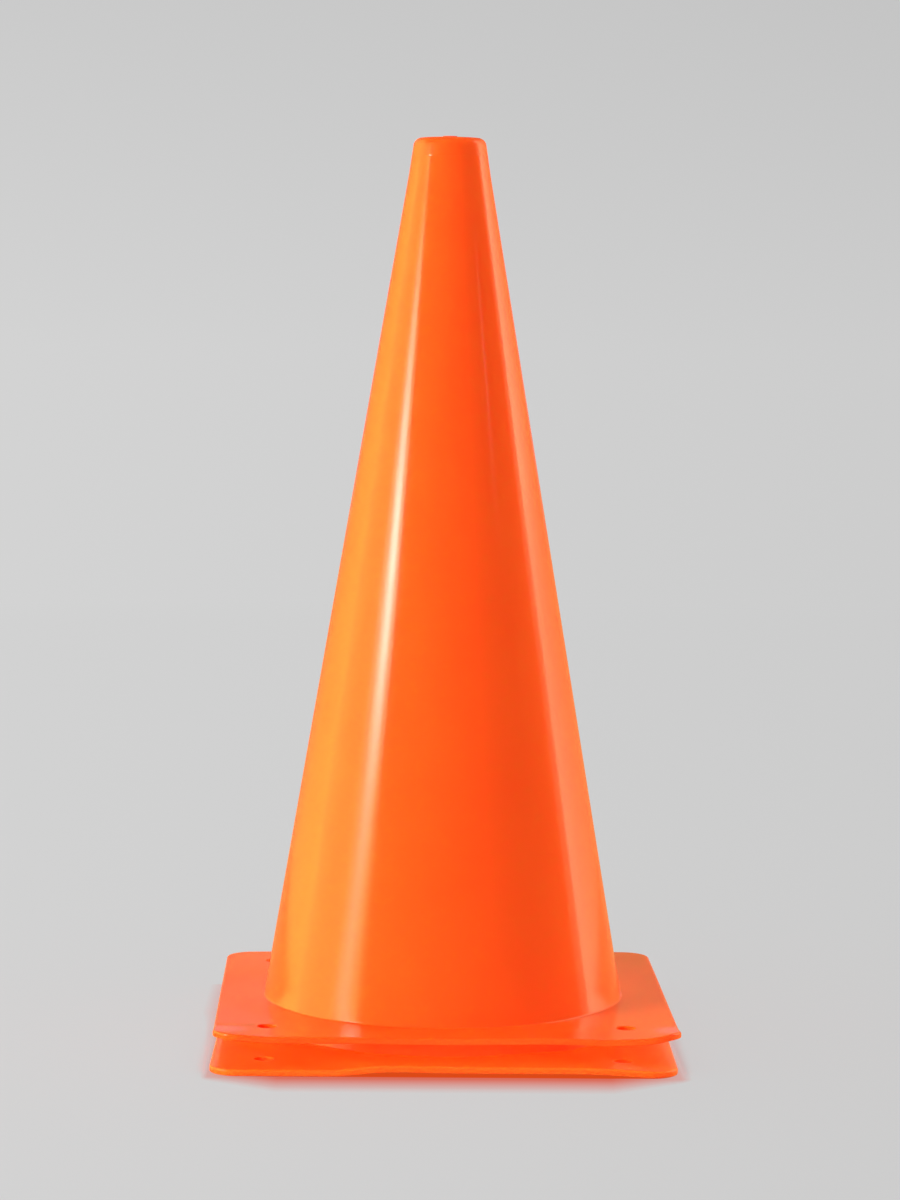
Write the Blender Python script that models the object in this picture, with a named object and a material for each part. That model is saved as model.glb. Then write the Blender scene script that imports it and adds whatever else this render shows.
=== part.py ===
"""Two tall training cones, nested one over the other.

Both cones are the same one-piece moulding in flexible plastic: a thin round
body that tapers up to a closed crown, on a square flange with rounded corners
and a peg hole near each corner. The upper cone sits loose on the lower one.

Units are metres and +Z is up. The origin is on the cones' axis, on the floor.
"""

import math

import bmesh
import bpy
from mathutils import Matrix

# Sizes of the body of one cone, whose height runs from the underside of its flange
CONE_HEIGHT = 0.4624
BODY_BASE_DIAMETER = 0.1924
BODY_TOP_DIAMETER = 0.0366
WALL = 0.0022
ROOT_FILLET = 0.0020
MOUTH_ROUND = 0.0010

# Sizes of the crown, of the collar round it and of the gate mark on top
CROWN_THICKNESS = 0.0030
CROWN_RISE = 0.0004
CROWN_ROUND = 0.0045
CROWN_INNER_ROUND = 0.0024
COLLAR_HEIGHT = 0.0200
COLLAR_PROUD = 0.00035
GATE_DIAMETER = 0.0080
GATE_HEIGHT = 0.0005
GATE_EDGE = 0.0003

# Sizes of the flange and its peg holes
FLANGE_SIDE = 0.2400
FLANGE_THICKNESS = 0.0033
FLANGE_CORNER_RADIUS = 0.0145
RIM_ROUND = 0.0013
RIM_UNDER_ROUND = 0.0006
PEG_HOLE_DIAMETER = 0.0100
PEG_HOLE_INSET = 0.0275
PEG_HOLE_ROUND = 0.0005

# How the upper cone sits on the lower one: the gap at the collar, and a slight turn
NEST_GAP = 0.0003
NEST_TURN = math.radians(0.9)

# Points of a turned shell that are closer than this are one
MERGE_DISTANCE = 0.000001

# Numbers of facets
ROUND_SEGMENTS = 64
CORNER_SEGMENTS = 6
HOLE_SEGMENTS = 24
DOME_SEGMENTS = 3
SHOULDER_SEGMENTS = 5
FILLET_SEGMENTS = 4
SMALL_ROUND_SEGMENTS = 3

# The plastic
ORANGE = (1.0, 0.115, 0.008, 1.0)
PLASTIC_ROUGHNESS = 0.12
SHARP_ANGLE = math.radians(35)

# Sizes that follow from those above
BASE_RADIUS = BODY_BASE_DIAMETER / 2
TOP_RADIUS = BODY_TOP_DIAMETER / 2
FLANK_SLOPE = (BASE_RADIUS - TOP_RADIUS) / (CONE_HEIGHT - FLANGE_THICKNESS)
FLANK_ANGLE = math.atan(FLANK_SLOPE)
WALL_ACROSS = WALL / math.cos(FLANK_ANGLE)
COLLAR_FOOT_HEIGHT = CONE_HEIGHT - COLLAR_HEIGHT
COLLAR_SLOPE = FLANK_SLOPE - COLLAR_PROUD / COLLAR_HEIGHT
COLLAR_ANGLE = math.atan(COLLAR_SLOPE)
CROWN_EDGE_HEIGHT = CONE_HEIGHT - CROWN_RISE
CEILING_HEIGHT = CROWN_EDGE_HEIGHT - CROWN_THICKNESS

# The upper cone comes down until its inner wall is one gap from the lower one's proud collar
NEST_HEIGHT = (WALL_ACROSS + COLLAR_PROUD + NEST_GAP) / FLANK_SLOPE


def flank_radius(height):
    """Outer radius of the straight flank."""
    return TOP_RADIUS + (CONE_HEIGHT - height) * FLANK_SLOPE


def bore_radius(height):
    """Radius of the hollow, whose wall keeps one thickness all the way up."""
    return flank_radius(height) - WALL_ACROSS


def collar_radius(height):
    """Outer radius of the collar, which is steeper than the flank and so stands proud at the top."""
    return TOP_RADIUS + COLLAR_PROUD + (CONE_HEIGHT - height) * COLLAR_SLOPE


def arc(centre, radius, start, end, segments):
    """Points on an arc, each as its distance from the axis and its height."""
    angles = [start + (end - start) * step / segments for step in range(segments + 1)]
    return [(centre[0] + radius * math.cos(a), centre[1] + radius * math.sin(a)) for a in angles]


def shoulder(wall_radius, wall_angle, level, radius):
    """Arc that turns from a tapering wall into a level face above it."""
    height = level - radius
    touch_height = height + radius * math.sin(wall_angle)
    centre = (wall_radius(touch_height) - radius * math.cos(wall_angle), height)
    return arc(centre, radius, wall_angle, math.pi / 2, SHOULDER_SEGMENTS)


def foot(wall_radius, level, radius, segments):
    """Arc that turns from a tapering wall outwards into a level face below it."""
    height = level + radius
    touch_height = height - radius * math.sin(FLANK_ANGLE)
    centre = (wall_radius(touch_height) + radius * math.cos(FLANK_ANGLE), height)
    return arc(centre, radius, math.pi + FLANK_ANGLE, math.pi * 3 / 2, segments)


def outer_profile():
    """Half outline of the outside, from the gate mark on top down to the flange."""
    gate_radius = GATE_DIAMETER / 2
    gate_top = CONE_HEIGHT + GATE_HEIGHT
    crown_arc = shoulder(collar_radius, COLLAR_ANGLE, CROWN_EDGE_HEIGHT, CROWN_ROUND)
    crown_arc.reverse()
    dome_reach = crown_arc[0][0] - gate_radius
    points = [(0.0, gate_top), (gate_radius - GATE_EDGE, gate_top)]
    for step in range(DOME_SEGMENTS):
        share = step / DOME_SEGMENTS
        points.append((gate_radius + dome_reach * share, CONE_HEIGHT - CROWN_RISE * share**2))
    points += crown_arc
    points.append((flank_radius(COLLAR_FOOT_HEIGHT), COLLAR_FOOT_HEIGHT))
    points += foot(flank_radius, FLANGE_THICKNESS, ROOT_FILLET, FILLET_SEGMENTS)
    return points


def inner_profile():
    """Half outline of the hollow, from its ceiling down to its mouth in the underside."""
    ceiling_arc = shoulder(bore_radius, FLANK_ANGLE, CEILING_HEIGHT, CROWN_INNER_ROUND)
    ceiling_arc.reverse()
    mouth_arc = foot(bore_radius, 0.0, MOUTH_ROUND, SMALL_ROUND_SEGMENTS)
    return [(0.0, CEILING_HEIGHT)] + ceiling_arc + mouth_arc


def rim_profile():
    """Outline of the flange's rim, from its top face round to its underside, as (inset, height)."""
    quarter = math.pi / 2
    top_centre = (-RIM_ROUND, FLANGE_THICKNESS - RIM_ROUND)
    under_centre = (-RIM_UNDER_ROUND, RIM_UNDER_ROUND)
    points = arc(top_centre, RIM_ROUND, quarter, 0.0, SMALL_ROUND_SEGMENTS)
    points += arc(under_centre, RIM_UNDER_ROUND, 0.0, -quarter, SMALL_ROUND_SEGMENTS)
    return [(-out, height) for out, height in points]


def peg_hole_profile():
    """Outline of a peg hole's wall, from the flange's top face down, as (radius, height)."""
    half_turn = math.pi
    wide = PEG_HOLE_DIAMETER / 2 + PEG_HOLE_ROUND
    top_centre = (wide, FLANGE_THICKNESS - PEG_HOLE_ROUND)
    under_centre = (wide, PEG_HOLE_ROUND)
    points = arc(top_centre, PEG_HOLE_ROUND, half_turn / 2, half_turn, SMALL_ROUND_SEGMENTS)
    points += arc(under_centre, PEG_HOLE_ROUND, half_turn, half_turn * 3 / 2, SMALL_ROUND_SEGMENTS)
    return points


def turned_shell(bm, profile):
    """Turns a half outline round the axis and returns the loop of open edges at its wide end."""
    before = set(bm.edges)
    verts = [bm.verts.new((radius, 0.0, height)) for radius, height in profile]
    edges = [bm.edges.new(pair) for pair in zip(verts, verts[1:])]
    bmesh.ops.spin(
        bm,
        geom=verts + edges,
        axis=(0.0, 0.0, 1.0),
        cent=(0.0, 0.0, 0.0),
        angle=math.tau,
        steps=ROUND_SEGMENTS,
        use_merge=True,
    )
    made = {vert for edge in set(bm.edges) - before for vert in edge.verts}
    bmesh.ops.remove_doubles(bm, verts=list(made), dist=MERGE_DISTANCE)
    return [edge for edge in bm.edges if edge.is_boundary and edge not in before]


def flange_loop(bm, inset, height):
    """A closed loop of edges along the flange's rounded outline, drawn in by the inset."""
    grid = bmesh.ops.create_grid(bm, x_segments=1, y_segments=1, size=FLANGE_SIDE / 2 - inset)
    rounded = bmesh.ops.bevel(
        bm,
        geom=grid["verts"],
        offset=FLANGE_CORNER_RADIUS - inset,
        offset_type="OFFSET",
        affect="VERTICES",
        segments=CORNER_SEGMENTS,
        profile=0.5,
        material=-1,
    )
    outline = rounded["verts"][0].link_faces[0]
    loop = list(outline.edges)
    bmesh.ops.translate(bm, verts=outline.verts[:], vec=(0.0, 0.0, height))
    bmesh.ops.delete(bm, geom=[outline], context="FACES_ONLY")
    return loop


def round_loop(bm, x, y, radius, height):
    """A closed loop of edges round a peg hole."""
    place = Matrix.Translation((x, y, height))
    ring = bmesh.ops.create_circle(bm, segments=HOLE_SEGMENTS, radius=radius, matrix=place)
    return list({edge for vert in ring["verts"] for edge in vert.link_edges})


def wall(bm, loops):
    """Faces from each loop to the next, and the first and last loops."""
    for above, below in zip(loops, loops[1:]):
        bmesh.ops.bridge_loops(bm, edges=above + below)
    return loops[0], loops[-1]


def moulding(bm):
    """One cone: the outside, the hollow, the rim and the peg holes, joined by the flange's two faces."""
    top_edges = turned_shell(bm, outer_profile())
    under_edges = turned_shell(bm, inner_profile())
    walls = [wall(bm, [flange_loop(bm, inset, height) for inset, height in rim_profile()])]
    place = FLANGE_SIDE / 2 - PEG_HOLE_INSET
    for x in (-place, place):
        for y in (-place, place):
            rings = [round_loop(bm, x, y, radius, height) for radius, height in peg_hole_profile()]
            walls.append(wall(bm, rings))
    for top, under in walls:
        top_edges += top
        under_edges += under
    for edges in (top_edges, under_edges):
        bmesh.ops.triangle_fill(bm, edges=edges, use_beauty=True, use_dissolve=False)
    bmesh.ops.recalc_face_normals(bm, faces=bm.faces[:])


def moulding_mesh(material):
    """The mesh that both cones share, shaded smooth but for its real edges."""
    bm = bmesh.new()
    moulding(bm)
    mesh = bpy.data.meshes.new("cone_moulding")
    bm.to_mesh(mesh)
    bm.free()
    mesh.materials.append(material)
    mesh.shade_smooth()
    mesh.set_sharp_from_angle(angle=SHARP_ANGLE)
    return mesh


def plastic():
    """Glossy orange polyethylene, the same in both cones."""
    material = bpy.data.materials.new("orange_polyethylene")
    material.use_nodes = True
    shader = material.node_tree.nodes["Principled BSDF"]
    shader.inputs["Base Color"].default_value = ORANGE
    shader.inputs["Roughness"].default_value = PLASTIC_ROUGHNESS
    shader.inputs["Metallic"].default_value = 0.0
    return material


def cone(name, mesh, stack, height, turn):
    """One cone, with its origin on the stack's axis at the underside of its flange."""
    made = bpy.data.objects.new(name, mesh)
    made.parent = stack
    made.location = (0.0, 0.0, height)
    made.rotation_euler = (0.0, 0.0, turn)
    bpy.context.scene.collection.objects.link(made)


def main():
    for old in list(bpy.data.objects):
        bpy.data.objects.remove(old)
    stack = bpy.data.objects.new("stack", None)
    bpy.context.scene.collection.objects.link(stack)
    mesh = moulding_mesh(plastic())
    cone("cone_lower", mesh, stack, 0.0, 0.0)
    cone("cone_upper", mesh, stack, NEST_HEIGHT, NEST_TURN)


main()
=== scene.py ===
"""Two tall training cones, nested one over the other, in a pale studio.

Units are metres and +Z is up. The origin is on the cones' axis, on the floor, and -Y is the front.
"""

import math

import bmesh
import bpy
from mathutils import Matrix, Vector


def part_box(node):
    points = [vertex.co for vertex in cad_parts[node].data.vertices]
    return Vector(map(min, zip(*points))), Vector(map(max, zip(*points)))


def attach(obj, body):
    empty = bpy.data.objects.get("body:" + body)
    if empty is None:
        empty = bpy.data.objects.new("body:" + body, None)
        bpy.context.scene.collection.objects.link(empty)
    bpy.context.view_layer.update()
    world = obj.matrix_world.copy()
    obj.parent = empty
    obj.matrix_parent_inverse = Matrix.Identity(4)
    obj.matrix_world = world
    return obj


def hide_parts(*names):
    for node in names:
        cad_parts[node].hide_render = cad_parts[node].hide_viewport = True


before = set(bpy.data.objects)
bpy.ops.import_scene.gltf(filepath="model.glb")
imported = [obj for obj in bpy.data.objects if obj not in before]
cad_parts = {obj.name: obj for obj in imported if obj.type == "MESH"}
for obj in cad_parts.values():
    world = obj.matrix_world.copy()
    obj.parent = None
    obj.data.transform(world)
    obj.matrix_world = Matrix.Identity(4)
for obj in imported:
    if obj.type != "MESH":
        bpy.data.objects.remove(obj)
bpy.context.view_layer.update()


# The lower cone is one thin moulding in glossy, slightly see-through orange polyethylene, hollow
# from below: a tapered body with a closed crown, on a square flange with a peg hole near each
# corner. It is turned from one closed outline, and its flange is then drawn out to a square.
WALL = 0.0022
BODY_TOP_DIAMETER = 0.0366
BODY_BASE_DIAMETER = 0.1924
ROOT_FILLET = 0.0010
MOUTH_ROUND = 0.0010

CROWN_THICKNESS = 0.0030
CROWN_RISE = 0.0004
CROWN_ROUND = 0.0045
CROWN_INNER_ROUND = 0.0024
COLLAR_HEIGHT = 0.0200
COLLAR_PROUD = 0.00035
PARTING_DEPTH = 0.0100
PARTING_WIDTH = 0.0005
PARTING_PROUD = 0.00006
GATE_DIAMETER = 0.0080
GATE_HEIGHT = 0.0005
GATE_EDGE = 0.0003

FLANGE_THICKNESS = 0.0033
FLANGE_CORNER_RADIUS = 0.0145
RIM_ROUND = 0.0013
RIM_UNDER_ROUND = 0.0006
PEG_HOLE_DIAMETER = 0.0100
PEG_HOLE_INSET = 0.0275
PEG_HOLE_ROUND = 0.0005

lower_low, lower_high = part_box("cone_lower")
FLANGE_SIDE = lower_high.x - lower_low.x
FLANGE_CORNER_PLACE = FLANGE_SIDE / 2 - FLANGE_CORNER_RADIUS
CONE_HEIGHT = lower_high.z - lower_low.z - GATE_HEIGHT

BASE_RADIUS = BODY_BASE_DIAMETER / 2
TOP_RADIUS = BODY_TOP_DIAMETER / 2
FLANK_SLOPE = (BASE_RADIUS - TOP_RADIUS) / (CONE_HEIGHT - FLANGE_THICKNESS)
FLANK_ANGLE = math.atan(FLANK_SLOPE)
WALL_ACROSS = WALL / math.cos(FLANK_ANGLE)
COLLAR_FOOT_HEIGHT = CONE_HEIGHT - COLLAR_HEIGHT
COLLAR_SLOPE = FLANK_SLOPE - COLLAR_PROUD / COLLAR_HEIGHT
PARTING_HEIGHT = CONE_HEIGHT - PARTING_DEPTH
CROWN_EDGE_HEIGHT = CONE_HEIGHT - CROWN_RISE
CEILING_HEIGHT = CROWN_EDGE_HEIGHT - CROWN_THICKNESS

# How finely the mesh is divided. A peg hole takes a patch of HOLE_REACH columns and rings each way
# from its middle, and STRAIGHT_SHARE of the columns of each side lie on its straight part.
COLUMNS = 256
FLANK_RINGS = 46
FLANGE_RINGS = 30
ROUND_RINGS = 6
DOME_RINGS = (0.0, 0.06, 0.25, 0.5, 0.75, 0.94)
HOLE_REACH = 4
STRAIGHT_SHARE = 0.75
SUPPORT = 0.0004
MERGE_DISTANCE = 0.000001

# The parting line's bead, as places in PARTING_WIDTHs and shares of PARTING_PROUD.
BEAD_OUTLINE = ((-1.0, 0.0), (-0.5, 0.0), (-0.2, 1.0), (0.2, 1.0), (0.5, 0.0), (1.0, 0.0))


def flank_radius(height):
    """Outer radius of the straight flank."""
    return TOP_RADIUS + (CONE_HEIGHT - height) * FLANK_SLOPE


def bore_radius(height):
    """Radius of the hollow, whose wall keeps one thickness all the way up."""
    return flank_radius(height) - WALL_ACROSS


def collar_radius(height):
    """Outer radius of the collar, which stands a little proud at the top."""
    return TOP_RADIUS + COLLAR_PROUD + (CONE_HEIGHT - height) * COLLAR_SLOPE


def arc(centre, radius, start, end):
    """Points on an arc, each as its distance from the axis and its height."""
    angles = [start + (end - start) * step / ROUND_RINGS for step in range(ROUND_RINGS + 1)]
    return [(centre[0] + radius * math.cos(a), centre[1] + radius * math.sin(a)) for a in angles]


def shoulder(wall_radius, slope, level, radius):
    """Arc that turns from a level face down into the tapering wall below it."""
    angle = math.atan(slope)
    height = level - radius
    centre = wall_radius(height + radius * math.sin(angle)) - radius * math.cos(angle)
    return arc((centre, height), radius, math.pi / 2, angle)


def foot(wall_radius, level, radius):
    """Arc that turns from a tapering wall outwards into a level face below it."""
    height = level + radius
    centre = wall_radius(height - radius * math.sin(FLANK_ANGLE)) + radius * math.cos(FLANK_ANGLE)
    return arc((centre, height), radius, math.pi + FLANK_ANGLE, math.pi * 3 / 2)


def steps_between(start, end, count):
    """Points on a straight line, its two ends left out."""
    shares = [step / count for step in range(1, count)]
    return [(start[0] + (end[0] - start[0]) * s, start[1] + (end[1] - start[1]) * s) for s in shares]


def crown_outline():
    """Half outline of the crown, from the gate mark's middle out to the foot of the collar."""
    gate = GATE_DIAMETER / 2
    gate_top = CONE_HEIGHT + GATE_HEIGHT
    rounding = shoulder(collar_radius, COLLAR_SLOPE, CROWN_EDGE_HEIGHT, CROWN_ROUND)
    reach = rounding[0][0] - gate
    points = [(0.0, gate_top), (gate / 2, gate_top), (gate - GATE_EDGE * 2, gate_top)]
    points.append((gate - GATE_EDGE, gate_top))
    points += [(gate + reach * share, CONE_HEIGHT - CROWN_RISE * share * share) for share in DOME_RINGS]
    points += rounding
    for place, proud in BEAD_OUTLINE:
        height = PARTING_HEIGHT - place * PARTING_WIDTH
        points.append((collar_radius(height) + proud * PARTING_PROUD, height))
    points.append((flank_radius(COLLAR_FOOT_HEIGHT), COLLAR_FOOT_HEIGHT))
    return points


def rim_outline():
    """Outline of the rim, from the flange's top face round to its underside, as (inset, height)."""
    top = arc((-RIM_ROUND, FLANGE_THICKNESS - RIM_ROUND), RIM_ROUND, math.pi / 2, 0.0)
    under = arc((-RIM_UNDER_ROUND, RIM_UNDER_ROUND), RIM_UNDER_ROUND, 0.0, -math.pi / 2)
    points = [(RIM_ROUND + SUPPORT, FLANGE_THICKNESS)]
    points += [(-out, height) for out, height in top + under]
    return points + [(RIM_UNDER_ROUND + SUPPORT, 0.0)]


def peg_hole_outline():
    """Outline of a peg hole's wall, from the top face down to the underside, as (radius, height)."""
    wide = PEG_HOLE_DIAMETER / 2 + PEG_HOLE_ROUND
    top = arc((wide, FLANGE_THICKNESS - PEG_HOLE_ROUND), PEG_HOLE_ROUND, math.pi / 2, math.pi)
    under = arc((wide, PEG_HOLE_ROUND), PEG_HOLE_ROUND, math.pi, math.pi * 3 / 2)
    return top + under + [(wide + SUPPORT, 0.0)]


def outline_point(turn, inset):
    """The point of the flange's rounded square that a column of the turned shape is drawn out to."""
    quarter = math.pi / 2
    side = round(turn / quarter)
    share = (turn - side * quarter) / (quarter / 2)
    along = min(abs(share) / STRAIGHT_SHARE, 1.0) * FLANGE_CORNER_PLACE
    bend = max(abs(share) - STRAIGHT_SHARE, 0.0) / (1.0 - STRAIGHT_SHARE) * quarter / 2
    radius = FLANGE_CORNER_RADIUS - inset
    out = FLANGE_CORNER_PLACE + radius * math.cos(bend)
    across = math.copysign(along + radius * math.sin(bend), share)
    return Matrix.Rotation(side * quarter, 3, "Z") @ Vector((out, across, 0.0))


def turned_moulding(bm):
    """Spins the whole outline, inside and out, and draws the flange out to its rounded square."""
    ring = bm.verts.layers.int.new("ring")
    column = bm.verts.layers.int.new("column")
    spread = bm.verts.layers.float.new("spread")
    inset = bm.verts.layers.float.new("inset")
    crown = crown_outline()
    root = foot(flank_radius, FLANGE_THICKNESS, ROOT_FILLET)
    ceiling = shoulder(bore_radius, FLANK_SLOPE, CEILING_HEIGHT, CROWN_INNER_ROUND)
    mouth = foot(bore_radius, 0.0, MOUTH_ROUND)
    rim = rim_outline()
    support_share = SUPPORT / (FLANGE_SIDE / 2 - BASE_RADIUS)
    shares = [support_share] + [step / FLANGE_RINGS for step in range(1, FLANGE_RINGS)]
    body = crown + steps_between(crown[-1], root[0], FLANK_RINGS) + root
    hollow = mouth[::-1] + steps_between(mouth[0], ceiling[-1], FLANK_RINGS) + ceiling[::-1]
    hollow += [(ceiling[0][0] / 2, CEILING_HEIGHT), (0.0, CEILING_HEIGHT)]

    # Each row is its radius, its height, its share of the way to the rim, and its inset there. The
    # flange's rows are spun at places of their own, far out, before they are drawn to the square.
    rows = [(radius, height, 0.0, 0.0) for radius, height in body]
    rows += [(FLANGE_SIDE + share, FLANGE_THICKNESS, share, rim[0][0]) for share in shares]
    rows += [(FLANGE_SIDE + 1.0, height, 1.0, edge) for edge, height in rim]
    rows += [(FLANGE_SIDE + share, 0.0, share, rim[-1][0]) for share in reversed(shares)]
    rows += [(radius, height, 0.0, 0.0) for radius, height in hollow]
    verts = []
    for number, (radius, height, share, edge) in enumerate(rows):
        vert = bm.verts.new((radius, 0.0, height))
        vert[ring] = number
        vert[spread] = share
        vert[inset] = edge
        verts.append(vert)
    edges = [bm.edges.new(pair) for pair in zip(verts, verts[1:])]
    bmesh.ops.spin(
        bm,
        geom=verts + edges,
        axis=(0.0, 0.0, 1.0),
        cent=(0.0, 0.0, 0.0),
        angle=math.tau,
        steps=COLUMNS,
        use_merge=True,
    )
    poles = [vert for vert in bm.verts if vert.co.xy.length < MERGE_DISTANCE]
    bmesh.ops.remove_doubles(bm, verts=poles, dist=MERGE_DISTANCE)
    for vert in bm.verts:
        turn = math.atan2(vert.co.y, vert.co.x)
        vert[column] = round(turn / math.tau * COLUMNS)
        if vert[spread] > 0.0:
            inner = root[-1][0] if vert.co.z > FLANGE_THICKNESS / 2 else mouth[-1][0]
            start = Vector((inner * math.cos(turn), inner * math.sin(turn), 0.0))
            vert.co.xy = start.lerp(outline_point(turn, vert[inset]), vert[spread]).xy


def opened_patch(bm, corner, centre, level, radius):
    """Takes a square patch out of one face of the flange and draws its edge into a circle."""
    ring = bm.verts.layers.int["ring"]
    column = bm.verts.layers.int["column"]
    spread = bm.verts.layers.float["spread"]
    outward = 1 if level > FLANGE_THICKNESS / 2 else -1
    columns = {}
    for vert in bm.verts:
        if vert[spread] > 0.0 and abs(vert.co.z - level) < MERGE_DISTANCE:
            columns[vert] = (vert[column] - corner + COLUMNS // 2) % COLUMNS - COLUMNS // 2
    diagonal = [vert for vert, away in columns.items() if away == 0]
    middle = min(diagonal, key=lambda vert: (vert.co.xy - centre.xy).length)
    patch = {}
    for vert, away in columns.items():
        along = (vert[ring] - middle[ring]) * outward
        if max(abs(away), abs(along)) <= HOLE_REACH:
            patch[vert] = (away, along)
    faces = {face for vert in patch for face in vert.link_faces}
    faces = [face for face in faces if all(vert in patch for vert in face.verts)]
    edge_verts = {vert: place for vert, place in patch.items() if max(map(abs, place)) == HOLE_REACH}
    bmesh.ops.delete(bm, geom=faces, context="FACES")
    for vert, (away, along) in edge_verts.items():
        angle = corner / COLUMNS * math.tau + math.atan2(away, along)
        vert.co.x = centre.x + radius * math.cos(angle)
        vert.co.y = centre.y + radius * math.sin(angle)
    return [edge for edge in bm.edges if edge.is_boundary and edge.verts[0] in edge_verts]


def peg_holes(bm):
    """Cuts the four peg holes: a rounded wall runs down from the top face and joins the underside."""
    outline = peg_hole_outline()
    support_radius = outline[-1][0]
    place = FLANGE_SIDE / 2 - PEG_HOLE_INSET
    for eighth in (1, 3, 5, 7):
        corner = eighth * COLUMNS // 8
        turn = corner / COLUMNS * math.tau
        x = math.copysign(place, math.cos(turn))
        y = math.copysign(place, math.sin(turn))
        centre = Vector((x, y, 0.0))
        opened_patch(bm, corner, centre, 0.0, support_radius)
        edges = opened_patch(bm, corner, centre, FLANGE_THICKNESS, support_radius)
        for radius, height in outline:
            made = bmesh.ops.extrude_edge_only(bm, edges=edges)["geom"]
            edges = [item for item in made if isinstance(item, bmesh.types.BMEdge)]
            for vert in {vert for edge in edges for vert in edge.verts}:
                away = (vert.co.xy - centre.xy).normalized() * radius
                vert.co = (centre.x + away.x, centre.y + away.y, height)
    open_verts = {vert for edge in bm.edges if edge.is_boundary for vert in edge.verts}
    bmesh.ops.remove_doubles(bm, verts=list(open_verts), dist=MERGE_DISTANCE)


bm = bmesh.new()
turned_moulding(bm)
peg_holes(bm)
satin = bm.verts.layers.float.new("satin")
for vert in bm.verts:
    vert[satin] = float(vert.co.z > PARTING_HEIGHT)
for layer in ("ring", "column"):
    bm.verts.layers.int.remove(bm.verts.layers.int[layer])
for layer in ("spread", "inset"):
    bm.verts.layers.float.remove(bm.verts.layers.float[layer])
bmesh.ops.recalc_face_normals(bm, faces=bm.faces[:])
plain_moulding = bpy.data.meshes.new("plain_moulding")
bm.to_mesh(plain_moulding)
bm.free()
plain_moulding.shade_smooth()


def colour_mix(tree, factor, first, second):
    """A mix of two colours, each a node's output or a plain colour, by a node's output."""
    mix = tree.nodes.new("ShaderNodeMix")
    mix.data_type = "RGBA"
    tree.links.new(factor, mix.inputs["Factor"])
    for socket, value in (("A", first), ("B", second)):
        if isinstance(value, tuple):
            mix.inputs[socket].default_value = value
        else:
            tree.links.new(value, mix.inputs[socket])
    return mix.outputs["Result"]


def spread_out(tree, value, start, end, low=0.0, high=1.0):
    """A node's output, spread from the range start to end over the range low to high."""
    spread = tree.nodes.new("ShaderNodeMapRange")
    spread.inputs["From Min"].default_value = start
    spread.inputs["From Max"].default_value = end
    spread.inputs["To Min"].default_value = low
    spread.inputs["To Max"].default_value = high
    tree.links.new(value, spread.inputs["Value"])
    return spread.outputs["Result"]


def noise(tree, vector, scale, detail):
    """A noise pattern on a coordinate."""
    pattern = tree.nodes.new("ShaderNodeTexNoise")
    pattern.inputs["Scale"].default_value = scale
    pattern.inputs["Detail"].default_value = detail
    tree.links.new(vector, pattern.inputs["Vector"])
    return pattern.outputs["Fac"]


def bump(tree, height, strength, distance, normal):
    """A relief on a surface, on top of the one that the normal already holds."""
    relief = tree.nodes.new("ShaderNodeBump")
    relief.inputs["Strength"].default_value = strength
    relief.inputs["Distance"].default_value = distance
    tree.links.new(height, relief.inputs["Height"])
    if normal:
        tree.links.new(normal, relief.inputs["Normal"])
    return relief.outputs["Normal"]


ORANGE_DEEP = (0.85, 0.083, 0.0058, 1.0)
ORANGE_LIGHT = (0.85, 0.089, 0.0062, 1.0)
SCATTER_RADIUS = (1.0, 0.4, 0.15)
SCATTER_SCALE = 0.0028
CLOUDS_PER_METRE = 26.0
CLOUD_DETAIL = 3.0
CLOUD_EDGES = (0.35, 0.65)
GLOSS_PATCHES_PER_METRE = 22.0
GLOSS_PATCH_DETAIL = 4.0
GLOSS_PATCH_EDGES = (0.3, 0.7)
ROUGHNESS_SKIN = (0.10, 0.15)
ROUGHNESS_COLLAR = 0.26
RELIEF_DETAIL = 2.0
FLOW_LINES_ROUND = 34.0
FLOW_LINE_STRENGTH = 0.35
FLOW_LINE_DEPTH = 0.00006
PEEL_PER_METRE = 240.0
PEEL_STRENGTH = 0.3
PEEL_DEPTH = 0.00003

orange_plastic = bpy.data.materials.new("orange_polyethylene_gloss")
orange_plastic.use_nodes = True
tree = orange_plastic.node_tree
shader = tree.nodes["Principled BSDF"]
shader.inputs["Subsurface Weight"].default_value = 1.0
shader.inputs["Subsurface Radius"].default_value = SCATTER_RADIUS
shader.inputs["Subsurface Scale"].default_value = SCATTER_SCALE
place = tree.nodes.new("ShaderNodeTexCoord").outputs["Object"]

# The dye isn't stirred in quite evenly, so that the colour clouds by a shade.
clouds = spread_out(tree, noise(tree, place, CLOUDS_PER_METRE, CLOUD_DETAIL), *CLOUD_EDGES)
tree.links.new(colour_mix(tree, clouds, ORANGE_DEEP, ORANGE_LIGHT), shader.inputs["Base Color"])

# The skin's gloss varies a little, and above the parting line it is satin.
patches = noise(tree, place, GLOSS_PATCHES_PER_METRE, GLOSS_PATCH_DETAIL)
skin = spread_out(tree, patches, *GLOSS_PATCH_EDGES, *ROUGHNESS_SKIN)
collar = tree.nodes.new("ShaderNodeAttribute")
collar.attribute_name = "satin"
finish = tree.nodes.new("ShaderNodeMix")
finish.inputs["B"].default_value = ROUGHNESS_COLLAR
tree.links.new(collar.outputs["Fac"], finish.inputs["Factor"])
tree.links.new(skin, finish.inputs["A"])
tree.links.new(finish.outputs["Result"], shader.inputs["Roughness"])

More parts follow.
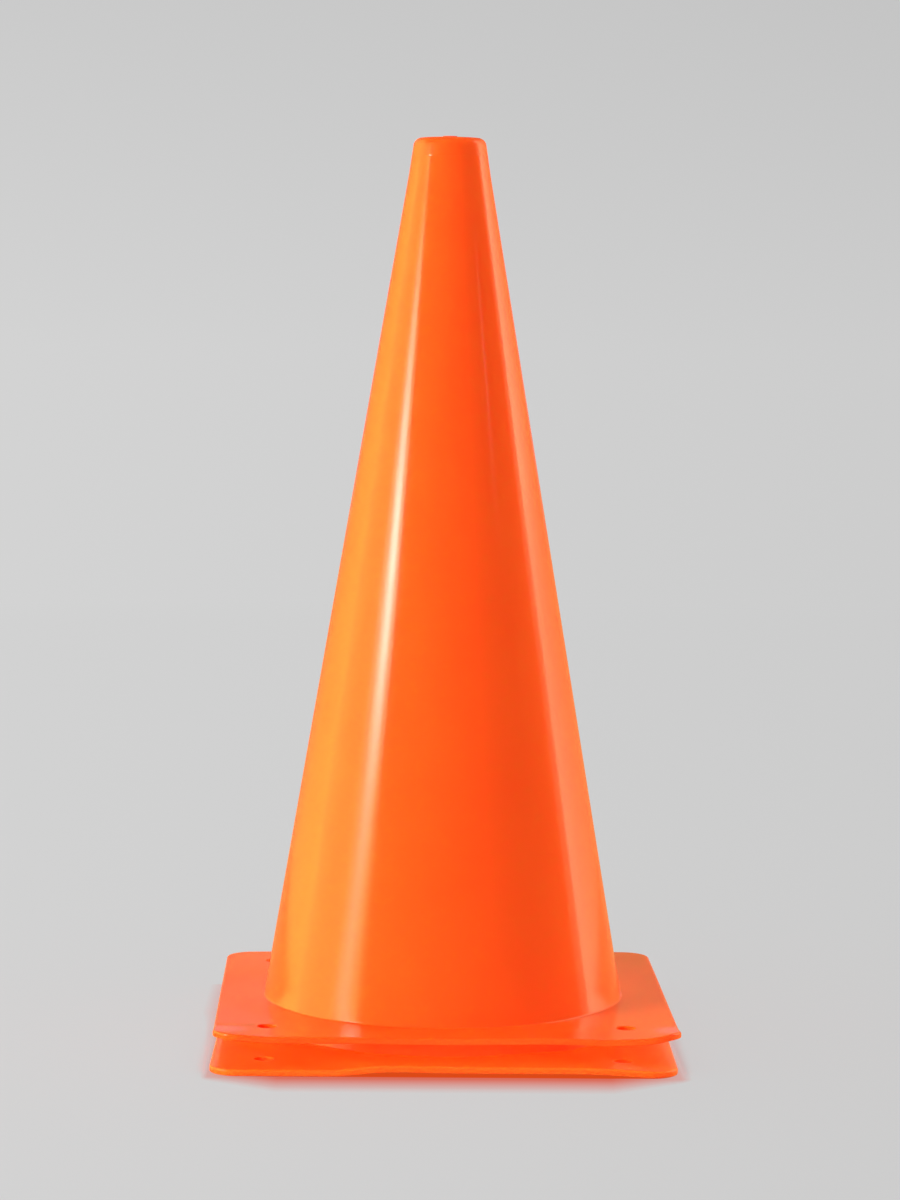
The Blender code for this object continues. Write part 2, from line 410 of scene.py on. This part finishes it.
# Flow lines run up the body, and the skin has a faint peel.
flat = tree.nodes.new("ShaderNodeVectorMath")
flat.operation = "MULTIPLY"
flat.inputs[1].default_value = (1.0, 1.0, 0.0)
tree.links.new(place, flat.inputs[0])
round_axis = tree.nodes.new("ShaderNodeVectorMath")
round_axis.operation = "NORMALIZE"
tree.links.new(flat.outputs["Vector"], round_axis.inputs[0])
flow_lines = noise(tree, round_axis.outputs["Vector"], FLOW_LINES_ROUND, RELIEF_DETAIL)
relief = bump(tree, flow_lines, FLOW_LINE_STRENGTH, FLOW_LINE_DEPTH, None)
peel = noise(tree, place, PEEL_PER_METRE, RELIEF_DETAIL)
relief = bump(tree, peel, PEEL_STRENGTH, PEEL_DEPTH, relief)
tree.links.new(relief, shader.inputs["Normal"])


def smooth_step(value, start, end):
    """0 before the start and 1 after the end, with a soft rise between them."""
    share = min(max((value - start) / (end - start), 0.0), 1.0)
    return share * share * (3.0 - 2.0 * share)


FRONT_LIFT = 0.0020
FRONT_LIFT_SLANT = 0.9
FRONT_LIFT_LEFT = (-0.058, -0.028)
FRONT_LIFT_RIGHT = (0.070, 0.120)
FRONT_LIFT_DEPTH = (0.020, 0.080)
LIP_CREST = 0.0004
LIP_CREST_PLACE = -0.022
LIP_CREST_WIDTH = 0.020
LIP_CREST_DEPTH = (0.090, 0.112)
WARP_HEIGHT = 0.035


def lower_sag(x, y, z):
    """The lower flange lies flat, but its front is warped up off the floor, with the body's foot."""
    aslant = x + FRONT_LIFT_SLANT * (y + FLANGE_SIDE / 2)
    across = smooth_step(aslant, *FRONT_LIFT_LEFT) * (1.0 - smooth_step(aslant, *FRONT_LIFT_RIGHT))
    lift = FRONT_LIFT * across * smooth_step(-y, *FRONT_LIFT_DEPTH)
    away = (x - LIP_CREST_PLACE) / LIP_CREST_WIDTH
    crest = LIP_CREST * math.exp(-away * away) * smooth_step(-y, *LIP_CREST_DEPTH)
    return (lift + crest) * (1.0 - smooth_step(z, FLANGE_THICKNESS, WARP_HEIGHT))


def cone_moulding(name, lift, turn, sag):
    """One whole cone as an object, with its flange bent by the sag, lifted and turned to its place."""
    bm = bmesh.new()
    bm.from_mesh(plain_moulding)
    for vert in bm.verts:
        vert.co.z += sag(*vert.co)
    bmesh.ops.rotate(bm, matrix=Matrix.Rotation(turn, 3, "Z"), verts=bm.verts[:])
    bmesh.ops.translate(bm, vec=(0.0, 0.0, lift), verts=bm.verts[:])
    mesh = plain_moulding.copy()
    mesh.name = name
    bm.to_mesh(mesh)
    bm.free()
    mesh.materials.append(orange_plastic)
    made = bpy.data.objects.new(name, mesh)
    bpy.context.scene.collection.objects.link(made)
    return made


lower_cone = cone_moulding("lower_cone_moulding", lower_low.z, 0.0, lower_sag)
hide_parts("cone_lower")
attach(lower_cone, "lower_cone")


# The upper cone is the same moulding again, nested over the lower one until its hollow rests on
# the lower collar. It sits loose, so it is turned a little, and its flange hangs free and waves.
NEST_TURN = math.radians(0.9)
FLANGE_WAVE = 0.0003
FLANGE_WAVES_PER_METRE = 7.0
FLANGE_WAVE_START = 1.0
CORNER_LIFT_DEPTH = (0.085, 0.119)
LEFT_CORNER_LIFT = 0.0020
LEFT_CORNER = (0.085, 0.119)
RIGHT_CORNER_LIFT = 0.0022
RIGHT_CORNER = (0.098, 0.119)
FRONT_DROOP = 0.0010
FRONT_DROOP_PLACE = 0.080
FRONT_DROOP_WIDTH = 0.018

upper_low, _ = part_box("cone_upper")


def upper_sag(x, y, z):
    """Slight waves in the free flange. Its front corners turn up, and its front droops at the right."""
    out = smooth_step(math.hypot(x, y), BASE_RADIUS, FLANGE_SIDE / 2)
    waves = FLANGE_WAVES_PER_METRE * (x + y / 2)
    wave = FLANGE_WAVE * math.sin(math.tau * waves + FLANGE_WAVE_START)
    left_corner = LEFT_CORNER_LIFT * smooth_step(-x, *LEFT_CORNER)
    right_corner = RIGHT_CORNER_LIFT * smooth_step(x, *RIGHT_CORNER)
    away = (x - FRONT_DROOP_PLACE) / FRONT_DROOP_WIDTH
    droop = FRONT_DROOP * math.exp(-away * away)
    front = smooth_step(-y, *CORNER_LIFT_DEPTH)
    return out * (wave + front * (left_corner + right_corner - droop))


upper_cone = cone_moulding("upper_cone_moulding", upper_low.z, NEST_TURN, upper_sag)
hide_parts("cone_upper")
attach(upper_cone, "upper_cone")


# The floor is a sheet of pale paper, which takes the cones' shadow. Round the flange the camera
# sees a painted glow in the plastic's orange. It stands in for the light that comes through and
# off the plastic, and for the shade under the lifted flange. Further out the paper shows its own
# grey, as does the backdrop.
# Its underside is clear, so that the hollow shows from below.
FLOOR_RADIUS = 12.0
FLOOR_SIDES = 96
FLOOR_GREY = (0.62, 0.62, 0.62, 1.0)
FLOOR_ROUGHNESS = 0.9
# Painted reflection: gloss sees the paper in a warm orange, as if lit by the cones.
FLOOR_PAINTED_WARM_IN_GLOSS = (0.60, 0.38, 0.15, 1.0)
FLOOR_SELF_LIT_NEAR = 0.85
FLOOR_SELF_LIT_FAR = (0.8, 2.6)
SHADOW_REACH = 0.008
OUTLINE_EDGE = 0.0005

# Painted light and shade on the floor: under the flange the paper is painted deep orange in place of
# its shade, and beside it a painted pink glow fades out.
PAINTED_GLOW_UNDER = (0.72, 0.068, 0.009, 1.0)
PAINTED_GLOW_BESIDE = (0.71, 0.155, 0.107, 1.0)
GLOW_FADE = (0.004, 0.036)
GLOW_COVER = (0.0, 0.33)
GLOW_CORNER = 0.035
GLOW_CORNER_PAST = 0.005
GLOW_CORNER_SHARE = 0.2
GLOW_SIDE_SHARE = 0.5
GLOW_SIDES = (-0.05, 0.05)
GLOW_SIDES_IN_FRONT = (9.0, 5.5)
GLOW_SIDES_GROWTH = (-6.0, 6.5)
GLOW_SIDES_REAR = 0.04
GLOW_DEPTH = (-0.1, 0.1, 1.0, 1.8)

# The grey's sideways shade fans out from the place of the photo's camera.
# Painted shade: the grey is lighter at the left, on the key lamp's side, than at the right.
BACKDROP_LEFT = (0.655, 0.655, 0.655, 1.0)
BACKDROP_RIGHT = (0.61, 0.61, 0.61, 1.0)
SHADE_FAN = (-0.13, 0.13)
SHADE_FAN_DISTANCE = 1.95
SHADE_FAN_LEAST = 1.55


def sums(tree, operation, first, second):
    """A math node on two values, each a node's output or a plain number."""
    step = tree.nodes.new("ShaderNodeMath")
    step.operation = operation
    for socket, value in enumerate((first, second)):
        if isinstance(value, float):
            step.inputs[socket].default_value = value
        else:
            tree.links.new(value, step.inputs[socket])
    return step.outputs["Value"]


def distance(tree, first, second):
    """The length of two sides' hypotenuse."""
    squares = [sums(tree, "MULTIPLY", side, side) for side in (first, second)]
    return sums(tree, "SQRT", sums(tree, "ADD", *squares), 0.0)


def past(tree, place, reach):
    """How far a place on one axis is past a reach to either side, 0 within it."""
    over = sums(tree, "SUBTRACT", sums(tree, "ABSOLUTE", place, 0.0), reach)
    return sums(tree, "MAXIMUM", over, 0.0)


def beyond_outline(tree, x, y):
    """Distance from the lower flange's rounded outline, below 0 inside it."""
    sides = [past(tree, place, FLANGE_CORNER_PLACE) for place in (x, y)]
    return sums(tree, "SUBTRACT", distance(tree, *sides), FLANGE_CORNER_RADIUS)


def painted_flange_glow(tree, x, y):
    """The painted glow round the flange: wide in front, narrow at the back, and narrowest at the sides.
    """
    half = FLANGE_SIDE / 2
    rear = spread_out(tree, y, -half, GLOW_SIDES_REAR)
    growth = spread_out(tree, x, *GLOW_SIDES, *GLOW_SIDES_GROWTH)
    steepness = sums(tree, "MULTIPLY", rear, growth)
    steepness = sums(tree, "ADD", steepness, spread_out(tree, x, *GLOW_SIDES, *GLOW_SIDES_IN_FRONT))
    along_x = sums(tree, "MULTIPLY", past(tree, x, half), steepness)

    aside = sums(tree, "ABSOLUTE", x, 0.0)
    corner = (half - GLOW_CORNER, half + GLOW_CORNER_PAST, 1.0, GLOW_CORNER_SHARE)
    along_y = sums(tree, "MULTIPLY", past(tree, y, half), spread_out(tree, y, *GLOW_DEPTH))
    along_y = sums(tree, "DIVIDE", along_y, spread_out(tree, aside, *corner))

    level = spread_out(tree, distance(tree, along_x, along_y), *GLOW_FADE, 1.0, 0.0)
    sides = spread_out(tree, aside, half - GLOW_CORNER, half, 1.0, GLOW_SIDE_SHARE)
    return sums(tree, "MULTIPLY", level, sides)


bm = bmesh.new()
bmesh.ops.create_circle(bm, cap_ends=True, segments=FLOOR_SIDES, radius=FLOOR_RADIUS)
floor_mesh = bpy.data.meshes.new("studio_floor")
bm.to_mesh(floor_mesh)
bm.free()
floor = bpy.data.objects.new("studio_floor", floor_mesh)
bpy.context.scene.collection.objects.link(floor)

paper = bpy.data.materials.new("pale_paper")
paper.use_nodes = True
tree = paper.node_tree
paper_shader = tree.nodes["Principled BSDF"]
paper_shader.inputs["Base Color"].default_value = FLOOR_GREY
paper_shader.inputs["Roughness"].default_value = FLOOR_ROUGHNESS
paper_shader.inputs["Specular IOR Level"].default_value = 0.0
rays = tree.nodes.new("ShaderNodeLightPath")
place = tree.nodes.new("ShaderNodeTexCoord").outputs["Object"]
axes = tree.nodes.new("ShaderNodeSeparateXYZ")
tree.links.new(place, axes.inputs["Vector"])
x, y = axes.outputs["X"], axes.outputs["Y"]

# The colour that the sheet shows by itself, to the camera and in gloss. In gloss it is a painted
# warm colour, which stands in for the orange light that the cones throw on the paper.
ahead = sums(tree, "MAXIMUM", sums(tree, "ADD", y, SHADE_FAN_DISTANCE), SHADE_FAN_LEAST)
sideways = spread_out(tree, sums(tree, "DIVIDE", x, ahead), *SHADE_FAN)
grey = colour_mix(tree, sideways, BACKDROP_LEFT, BACKDROP_RIGHT)
# The painted glow: deep orange inside the flange's outline and pink outside it, over the grey.
from_rim = beyond_outline(tree, x, y)
outside = spread_out(tree, from_rim, -OUTLINE_EDGE, OUTLINE_EDGE)
inside = spread_out(tree, outside, 0.0, 1.0, 1.0, 0.0)
glow = sums(tree, "MAXIMUM", painted_flange_glow(tree, x, y), inside)
painted_glow_colour = colour_mix(tree, outside, PAINTED_GLOW_UNDER, PAINTED_GLOW_BESIDE)
to_camera = colour_mix(tree, glow, grey, painted_glow_colour)
colour = colour_mix(tree, rays.outputs["Is Glossy Ray"], to_camera, FLOOR_PAINTED_WARM_IN_GLOSS)
self_lit = tree.nodes.new("ShaderNodeEmission")
tree.links.new(colour, self_lit.inputs["Color"])

# That colour's share over the lamps' light on the paper: least close to the flange, in its shadow.
away = tree.nodes.new("ShaderNodeVectorMath")
away.operation = "LENGTH"
tree.links.new(place, away.inputs[0])
near = spread_out(tree, from_rim, 0.0, SHADOW_REACH, 0.0, FLOOR_SELF_LIT_NEAR)
far = spread_out(tree, away.outputs["Value"], *FLOOR_SELF_LIT_FAR)
share = sums(tree, "MAXIMUM", near, far)
# Where the painted glow is strong, it covers the paper's own light and shadow.
share = sums(tree, "MAXIMUM", share, spread_out(tree, glow, *GLOW_COVER))
share = sums(tree, "MULTIPLY", share, rays.outputs["Is Camera Ray"])
share = sums(tree, "MAXIMUM", share, rays.outputs["Is Glossy Ray"])
top = tree.nodes.new("ShaderNodeMixShader")
tree.links.new(share, top.inputs["Fac"])
tree.links.new(paper_shader.outputs["BSDF"], top.inputs[1])
tree.links.new(self_lit.outputs["Emission"], top.inputs[2])

from_below = tree.nodes.new("ShaderNodeNewGeometry").outputs["Backfacing"]
from_below = sums(tree, "MULTIPLY", from_below, rays.outputs["Is Camera Ray"])
clear = tree.nodes.new("ShaderNodeBsdfTransparent")
sheet = tree.nodes.new("ShaderNodeMixShader")
tree.links.new(from_below, sheet.inputs["Fac"])
tree.links.new(top.outputs["Shader"], sheet.inputs[1])
tree.links.new(clear.outputs["BSDF"], sheet.inputs[2])
tree.links.new(sheet.outputs["Shader"], tree.nodes["Material Output"].inputs["Surface"])
floor_mesh.materials.append(paper)


# The room is the same pale grey backdrop all round, which only the camera sees. Gloss sees a dim
# warm wall behind the cones and a darker room in front of them, and the rest is a weak fill.
BACKDROP_RISE = (-0.02, 0.09)
BACKDROP_TOP_SHARE = 0.90
ROOM_FILL = (0.08, 0.08, 0.08, 1.0)
ROOM_FRONT = (0.12, 0.10, 0.10, 1.0)
WALL_COLOUR = (0.58, 0.35, 0.13, 1.0)
WALL_DEPTH = (0.0, 0.8)
WALL_TOP = (0.32, 0.46, 1.0, 0.0)
WALL_UPPER_COLOUR = (0.65, 0.45, 0.32, 1.0)
WALL_UPPER_RISE = (0.190, 0.200)
WALL_UPPER_SIDES = (-0.02, 0.02, 1.0, 0.3)
WALL_FOOT_COLOUR = (0.80, 0.40, 0.33, 1.0)
WALL_FOOT_RISE = (0.11, 0.15, 1.0, 0.0)
WALL_FOOT_DEPTH = (0.90, 0.96)

world = bpy.data.worlds.new("studio")
bpy.context.scene.world = world
world.use_nodes = True
tree = world.node_tree
rays = tree.nodes.new("ShaderNodeLightPath")
direction = tree.nodes.new("ShaderNodeTexCoord").outputs["Generated"]
axes = tree.nodes.new("ShaderNodeSeparateXYZ")
tree.links.new(direction, axes.inputs["Vector"])
x, y, z = (axes.outputs[axis] for axis in "XYZ")

# Painted shade, as on the floor: the backdrop is lighter at the left, on the key lamp's side, and it
# darkens a little upwards.
grey = colour_mix(tree, spread_out(tree, x, *SHADE_FAN), BACKDROP_LEFT, BACKDROP_RIGHT)
backdrop = tree.nodes.new("ShaderNodeVectorMath")
backdrop.operation = "SCALE"
tree.links.new(grey, backdrop.inputs[0])
upward = spread_out(tree, z, *BACKDROP_RISE, 1.0, BACKDROP_TOP_SHARE)
tree.links.new(upward, backdrop.inputs["Scale"])

upper = spread_out(tree, z, *WALL_UPPER_RISE)
upper = sums(tree, "MULTIPLY", upper, spread_out(tree, x, *WALL_UPPER_SIDES))
wall = colour_mix(tree, upper, WALL_COLOUR, WALL_UPPER_COLOUR)
wall_foot = spread_out(tree, z, *WALL_FOOT_RISE)
wall_foot = sums(tree, "MULTIPLY", wall_foot, spread_out(tree, y, *WALL_FOOT_DEPTH))
wall = colour_mix(tree, wall_foot, wall, WALL_FOOT_COLOUR)
behind = sums(tree, "MULTIPLY", spread_out(tree, y, *WALL_DEPTH), spread_out(tree, z, *WALL_TOP))
in_gloss = colour_mix(tree, behind, ROOM_FRONT, wall)

unseen = colour_mix(tree, rays.outputs["Is Glossy Ray"], ROOM_FILL, in_gloss)
seen = sums(tree, "MAXIMUM", rays.outputs["Is Camera Ray"], rays.outputs["Is Transmission Ray"])
room = colour_mix(tree, seen, unseen, backdrop.outputs["Vector"])
tree.links.new(room, tree.nodes["Background"].inputs["Color"])


# The lamps are large and soft. A key at the front left, a lamp at the right and a weak one behind
# light the cones, and one overhead lights the floor. The through lamp stands for the light that
# comes down through the thin upper flange, and shines on the lower cone alone.
cones_only = bpy.data.collections.new("lit_cones")
cones_only.objects.link(lower_cone)
cones_only.objects.link(upper_cone)
lower_only = bpy.data.collections.new("lit_lower_cone")
lower_only.objects.link(lower_cone)
floor_only = bpy.data.collections.new("lit_floor")
floor_only.objects.link(floor)


def soft_lamp(name, azimuth, elevation, white_level, spread, receivers):
    """A far soft lamp, whose white level is how bright it makes a white surface that faces it."""
    light = bpy.data.lights.new(name, "SUN")
    light.energy = white_level * math.pi
    light.angle = math.radians(spread)
    lamp = bpy.data.objects.new(name, light)
    a, e = math.radians(azimuth), math.radians(elevation)
    towards = Vector((math.sin(a) * math.cos(e), -math.cos(a) * math.cos(e), math.sin(e)))
    lamp.rotation_euler = towards.to_track_quat("Z", "Y").to_euler()
    lamp.visible_glossy = False
    lamp.light_linking.receiver_collection = receivers
    bpy.context.scene.collection.objects.link(lamp)
    return lamp


# Azimuth and elevation in degrees, white level, spread in degrees, and what the lamp lights.
soft_lamp("key_lamp", -60.0, 16.0, 2.40, 30.0, cones_only)
soft_lamp("side_lamp", 100.0, 14.0, 1.48, 30.0, cones_only)
soft_lamp("back_lamp", 180.0, 25.0, 0.70, 40.0, cones_only)
soft_lamp("floor_lamp", -30.0, 75.0, 0.92, 110.0, floor_only)
through_lamp = soft_lamp("through_lamp", -20.0, 60.0, 0.92, 40.0, lower_only)
through_lamp.light_linking.blocker_collection = lower_only


# The panels stand round the cones in the lamps' places, as a studio's soft boxes do, and only
# gloss sees them. Places on a panel are in metres, across from its middle and up from the floor.
PANEL_DISTANCE = 1.12
PANEL_HEIGHT = 1.6


def gloss_panel(name, azimuth, width, colour, strength, profile):
    """An upright panel on the floor. Its profile gives its brightness by place."""
    a = math.radians(azimuth)
    bm = bmesh.new()
    grid = bmesh.ops.create_grid(bm, x_segments=1, y_segments=1, size=0.5)
    bmesh.ops.translate(bm, vec=(0.0, 0.5, 0.0), verts=grid["verts"])
    bmesh.ops.scale(bm, vec=(width, PANEL_HEIGHT, 1.0), verts=grid["verts"])
    mesh = bpy.data.meshes.new(name)
    bm.to_mesh(mesh)
    bm.free()
    panel = bpy.data.objects.new(name, mesh)
    out = Vector((math.sin(a), -math.cos(a), 0.0))
    side = Vector((-out.y, out.x, 0.0))
    upright = Matrix((side, Vector((0.0, 0.0, 1.0)), out)).transposed().to_4x4()
    panel.matrix_world = Matrix.Translation(out * PANEL_DISTANCE) @ upright
    bpy.context.scene.collection.objects.link(panel)
    for flag in ("camera", "diffuse", "transmission", "volume_scatter", "shadow"):
        setattr(panel, "visible_" + flag, False)
    shine = bpy.data.materials.new(name)
    shine.use_nodes = True
    tree = shine.node_tree
    tree.nodes.remove(tree.nodes["Principled BSDF"])
    glow = tree.nodes.new("ShaderNodeEmission")
    glow.inputs["Color"].default_value = (*colour, 1.0)
    axes = tree.nodes.new("ShaderNodeSeparateXYZ")
    tree.links.new(tree.nodes.new("ShaderNodeTexCoord").outputs["Object"], axes.inputs["Vector"])
    level = profile(tree, axes.outputs["X"], axes.outputs["Y"])
    tree.links.new(sums(tree, "MULTIPLY", level, strength), glow.inputs["Strength"])
    clear = tree.nodes.new("ShaderNodeBsdfTransparent")
    both = tree.nodes.new("ShaderNodeAddShader")
    tree.links.new(glow.outputs["Emission"], both.inputs[0])
    tree.links.new(clear.outputs["BSDF"], both.inputs[1])
    tree.links.new(both.outputs["Shader"], tree.nodes["Material Output"].inputs["Surface"])
    mesh.materials.append(shine)


def bell(tree, source, middle, width):
    """A bell curve of one coordinate."""
    away = sums(tree, "SUBTRACT", source, middle)
    square = sums(tree, "MULTIPLY", away, away)
    return sums(tree, "EXPONENT", sums(tree, "MULTIPLY", square, -1.0 / (width * width)), 0.0)


WHITE = (1.0, 0.97, 0.93)
KEY_AZIMUTH = -60.3
KEY_WIDTH = 0.50
KEY_STRENGTH = 15.6
KEY_HOT_HEIGHT = 0.495
KEY_HOT_REACH = 0.15
KEY_EVEN_SHARE = 0.15
KEY_BOW_HEIGHT = 0.5
KEY_BOW_ABOVE = 0.30
KEY_BOW_BELOW = 0.6
KEY_STRIP_WIDTH = 0.10
KEY_SHOULDER_PLACE = -0.187
KEY_SHOULDER_WIDTH = 0.07
KEY_SHOULDER_SHARE = 0.08
KEY_TOP_FADE = (0.72, 0.80, 1.0, 0.1)


def key_profile(tree, x, y):
    """The key lamp's image: a bowed soft strip with a hot middle, which fades out at its top."""
    up = sums(tree, "ADD", bell(tree, y, KEY_HOT_HEIGHT, KEY_HOT_REACH), KEY_EVEN_SHARE)
    over = sums(tree, "SUBTRACT", y, KEY_BOW_HEIGHT)
    above = sums(tree, "MULTIPLY", sums(tree, "MAXIMUM", over, 0.0), KEY_BOW_ABOVE)
    below = sums(tree, "MINIMUM", over, 0.0)
    below = sums(tree, "MULTIPLY", sums(tree, "MULTIPLY", below, below), KEY_BOW_BELOW)
    bowed = sums(tree, "ADD", x, sums(tree, "ADD", above, below))
    strip = bell(tree, bowed, 0.0, KEY_STRIP_WIDTH)
    beside = bell(tree, x, KEY_SHOULDER_PLACE, KEY_SHOULDER_WIDTH)
    across = sums(tree, "ADD", strip, sums(tree, "MULTIPLY", beside, KEY_SHOULDER_SHARE))
    top = spread_out(tree, y, *KEY_TOP_FADE)
    return sums(tree, "MULTIPLY", sums(tree, "MULTIPLY", across, up), top)


gloss_panel("key_panel", KEY_AZIMUTH, KEY_WIDTH, WHITE, KEY_STRENGTH, key_profile)


YELLOW = (1.0, 0.87, 0.22)
LEFT_AZIMUTH = -78.0
LEFT_WIDTH = 1.12
LEFT_STRENGTH = 3.4
LEFT_ACROSS = (-0.05, 0.10, 0.77, 1.0)
LEFT_FRONT_EDGE = (0.47, 0.53, 1.0, 0.0)
LEFT_LEAN = 4.5
LEFT_LEAN_HEIGHT = 0.6


def left_profile(tree, x, y):
    """An even panel that is brighter towards the key. Its front edge leans back near its top."""
    over = sums(tree, "MAXIMUM", sums(tree, "SUBTRACT", y, LEFT_LEAN_HEIGHT), 0.0)
    lean = sums(tree, "MULTIPLY", sums(tree, "MULTIPLY", over, over), LEFT_LEAN)
    front = spread_out(tree, sums(tree, "ADD", x, lean), *LEFT_FRONT_EDGE)
    return sums(tree, "MULTIPLY", spread_out(tree, x, *LEFT_ACROSS), front)


gloss_panel("left_panel", LEFT_AZIMUTH, LEFT_WIDTH, YELLOW, LEFT_STRENGTH, left_profile)


DEEP_YELLOW = (1.0, 0.87, 0.17)
LEFT_REAR_AZIMUTH = -135.0
LEFT_REAR_WIDTH = 1.32
LEFT_REAR_STRENGTH = 3.55
LEFT_REAR_ACROSS = (-0.66, 0.66)
LEFT_REAR_FADE = 2.05


def left_rear_profile(tree, x, y):
    """Bright at its front edge, and fading towards the back."""
    return sums(tree, "POWER", spread_out(tree, x, *LEFT_REAR_ACROSS), LEFT_REAR_FADE)


gloss_panel(
    "left_rear_panel",
    LEFT_REAR_AZIMUTH,
    LEFT_REAR_WIDTH,
    DEEP_YELLOW,
    LEFT_REAR_STRENGTH,
    left_rear_profile,
)


PEACH = (1.0, 0.95, 0.57)
RIGHT_AZIMUTH = 130.2
RIGHT_WIDTH = 1.52
RIGHT_STRENGTH = 4.4
RIGHT_ACROSS = (0.76, -0.57)
RIGHT_FADE = 3.0
RIGHT_STRIP = (-0.576, -0.552, 0.21, 1.0)
RIGHT_LOW = (0.34, 0.46, 0.66, 1.0)


def right_profile(tree, x, y):
    """A dim strip, then a bright edge that fades towards the back. It is dimmer low down."""
    across = sums(tree, "POWER", spread_out(tree, x, *RIGHT_ACROSS), RIGHT_FADE)
    across = sums(tree, "MULTIPLY", across, spread_out(tree, x, *RIGHT_STRIP))
    return sums(tree, "MULTIPLY", across, spread_out(tree, y, *RIGHT_LOW))


gloss_panel("right_panel", RIGHT_AZIMUTH, RIGHT_WIDTH, PEACH, RIGHT_STRENGTH, right_profile)


WINDOW_AZIMUTH = 60.0
WINDOW_PANEL_WIDTH = 0.20
WINDOW_STRENGTH = 1.4
WINDOW_WIDTH = 0.03
WINDOW_MIDDLE = 0.66
WINDOW_REACH = 0.09


def window_profile(tree, x, y):
    """A faint narrow streak."""
    across = bell(tree, x, 0.0, WINDOW_WIDTH)
    return sums(tree, "MULTIPLY", across, bell(tree, y, WINDOW_MIDDLE, WINDOW_REACH))


gloss_panel(
    "window_panel",
    WINDOW_AZIMUTH,
    WINDOW_PANEL_WIDTH,
    WHITE,
    WINDOW_STRENGTH,
    window_profile,
)


# The camera stands two metres in front of the cones, a little below the crown, and looks slightly
# down. Its small turns are the ones that the photograph's outlines give.
CAMERA_DISTANCE = 1.949
CAMERA_HEIGHT = 0.4054
CAMERA_ASIDE = -0.0039
CAMERA_PITCH = 0.0881
CAMERA_ROLL = 0.0090
CAMERA_PAN = 0.0031
STACK_TURN = 0.0075
CAMERA_LENS = 109.60
CAMERA_SENSOR = 36.0

camera_data = bpy.data.cameras.new("camera")
camera_data.lens = CAMERA_LENS
camera_data.sensor_width = CAMERA_SENSOR
camera = bpy.data.objects.new("camera", camera_data)
stack_turn = Matrix.Rotation(-STACK_TURN, 4, "Z")
stand = Matrix.Translation((CAMERA_ASIDE, -CAMERA_DISTANCE, CAMERA_HEIGHT))
pan = Matrix.Rotation(-CAMERA_PAN, 4, "Z")
pitch = Matrix.Rotation(math.pi / 2 - CAMERA_PITCH, 4, "X")
roll = Matrix.Rotation(CAMERA_ROLL, 4, "Z")
camera.matrix_world = stack_turn @ stand @ pan @ pitch @ roll
bpy.context.scene.collection.objects.link(camera)
bpy.context.scene.camera = camera
bpy.context.scene.view_settings.view_transform = "Standard"
